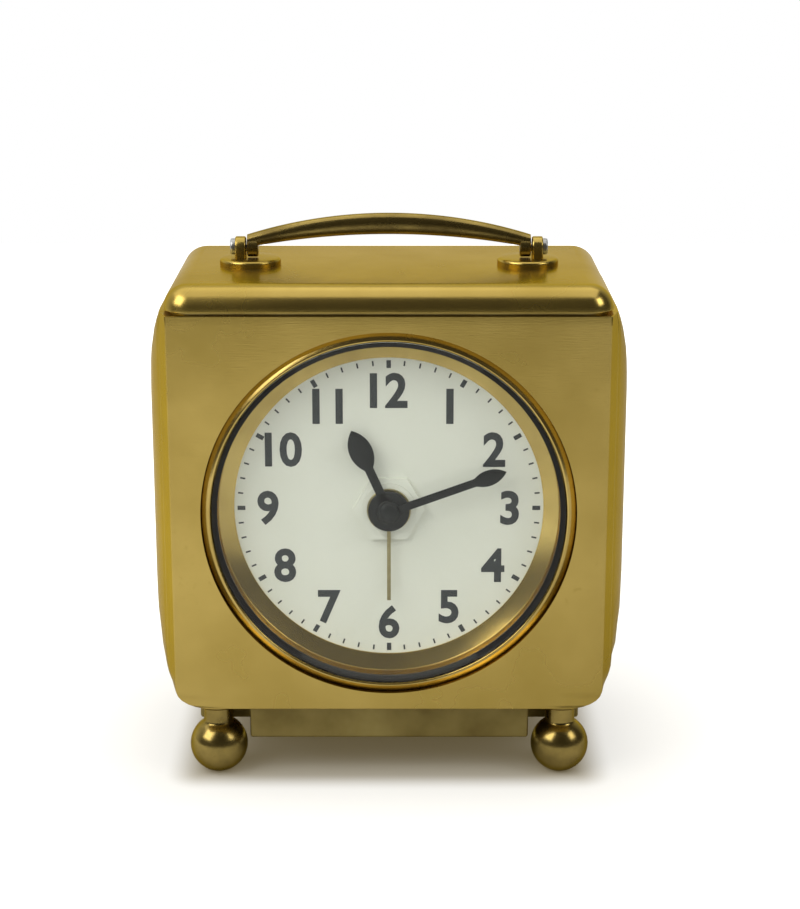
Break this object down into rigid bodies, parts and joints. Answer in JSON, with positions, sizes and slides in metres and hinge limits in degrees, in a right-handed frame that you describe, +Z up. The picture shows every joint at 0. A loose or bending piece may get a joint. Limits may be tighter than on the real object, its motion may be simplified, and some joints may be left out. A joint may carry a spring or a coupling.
{
  "type": "travel alarm clock",
  "caption": "Brass travel alarm clock: swelled case on ball feet, dished bezel, white dial with hands, folding handle, setting knobs and battery cover at the back.",
  "frame": {"origin": "bottom centre of the clock, on the surface that its feet stand on", "axes": "+Z up, the dial faces -Y, +X to the right as one looks at the dial"},
  "size_m": [0.0706, 0.038, 0.0822],
  "materials": {
    "brass": "polished and lacquered",
    "dark_brass": "satin, toned dark",
    "glass": "clear mineral glass",
    "gasket": "moulded",
    "dial": "white enamel paint",
    "blued_steel": "blued black",
    "straw": "gilt",
    "steel": "nickel plated",
    "black_plastic": "moulded",
    "white_plastic": "moulded",
    "board": "solder resist",
    "copper": "enamelled wire",
    "buzzer_brass": "plain",
    "battery": "printed sleeve, bare"
  },
  "bodies": {
    "case": {"case_band": "brass", "front_plate": "brass", "bezel_ring": "brass", "crystal": "glass", "crystal_gasket": "gasket", "top_plate": "brass", "base_plate": "dark_brass", "base_screws": "steel", "foot_front_left": "brass", "foot_front_right": "brass", "foot_rear_left": "brass", "foot_rear_right": "brass", "foot_screws": "steel", "post_left": "brass", "post_right": "brass", "post_nuts": "steel", "handle_pins": "steel", "dial": "dial", "centre_bush": "brass", "bush_nut": "brass", "front_housing": "black_plastic", "rear_housing": "black_plastic", "housing_screws": "steel", "circuit_board": "board", "coil": "copper", "gearbox": "white_plastic", "buzzer": "buzzer_brass", "contact_plus": "steel", "contact_minus": "steel", "battery": "battery", "back_plate": "brass", "back_screws": "steel"},
    "handle": {"handle": "brass"},
    "minute": {"minute_arbor": "steel", "minute_hand": "blued_steel", "hand_cap": "blued_steel"},
    "minute_wheel": {"minute_wheel": "white_plastic"},
    "hour": {"hour_wheel": "white_plastic", "hour_hand": "blued_steel"},
    "alarm": {"alarm_wheel": "white_plastic", "alarm_hand": "straw"},
    "time_setting": {"time_spindle": "steel", "time_knob": "brass"},
    "alarm_setting": {"alarm_spindle": "steel", "alarm_knob": "brass"},
    "alarm_switch": {"alarm_switch": "black_plastic"},
    "battery_cover": {"battery_cover": "brass"}
  },
  "joints": [
    {"name": "handle_fold", "type": "hinge", "parent": "case", "child": "handle", "pos_m": [0, 0, 0.0772], "axis": [1, 0, 0], "range_deg": [-88, 88]},
    {"name": "time_knob_turn", "type": "hinge", "parent": "case", "child": "time_setting", "pos_m": [0.018, 0, 0.05159], "axis": [0, 1, 0], "continuous": true},
    {"name": "minute_wheel_turn", "type": "hinge", "parent": "case", "child": "minute_wheel", "pos_m": [0.012, 0, 0.0412], "axis": [0, 1, 0], "continuous": true},
    {"name": "minute_turn", "type": "hinge", "parent": "case", "child": "minute", "pos_m": [0, 0, 0.0412], "axis": [0, 1, 0], "continuous": true},
    {"name": "hour_turn", "type": "hinge", "parent": "case", "child": "hour", "pos_m": [0, 0, 0.0412], "axis": [0, 1, 0], "continuous": true},
    {"name": "alarm_knob_turn", "type": "hinge", "parent": "case", "child": "alarm_setting", "pos_m": [-0.00919, 0, 0.05039], "axis": [0, 1, 0], "continuous": true},
    {"name": "alarm_turn", "type": "hinge", "parent": "case", "child": "alarm", "pos_m": [0, 0, 0.0412], "axis": [0, 1, 0], "continuous": true},
    {"name": "alarm_switch_slide", "type": "slide", "parent": "case", "child": "alarm_switch", "axis": [1, 0, 0], "range_m": [0, 0.003]},
    {"name": "battery_cover_off", "type": "slide", "parent": "case", "child": "battery_cover", "axis": [0, 1, 0], "range_m": [0, 0.02]}
  ],
  "couplings": [
    {"joint": "minute_wheel_turn", "follows": "time_knob_turn", "ratio": -0.33333},
    {"joint": "minute_turn", "follows": "time_knob_turn", "ratio": 1},
    {"joint": "hour_turn", "follows": "time_knob_turn", "ratio": 0.083333},
    {"joint": "alarm_turn", "follows": "alarm_knob_turn", "ratio": -0.3}
  ]
}
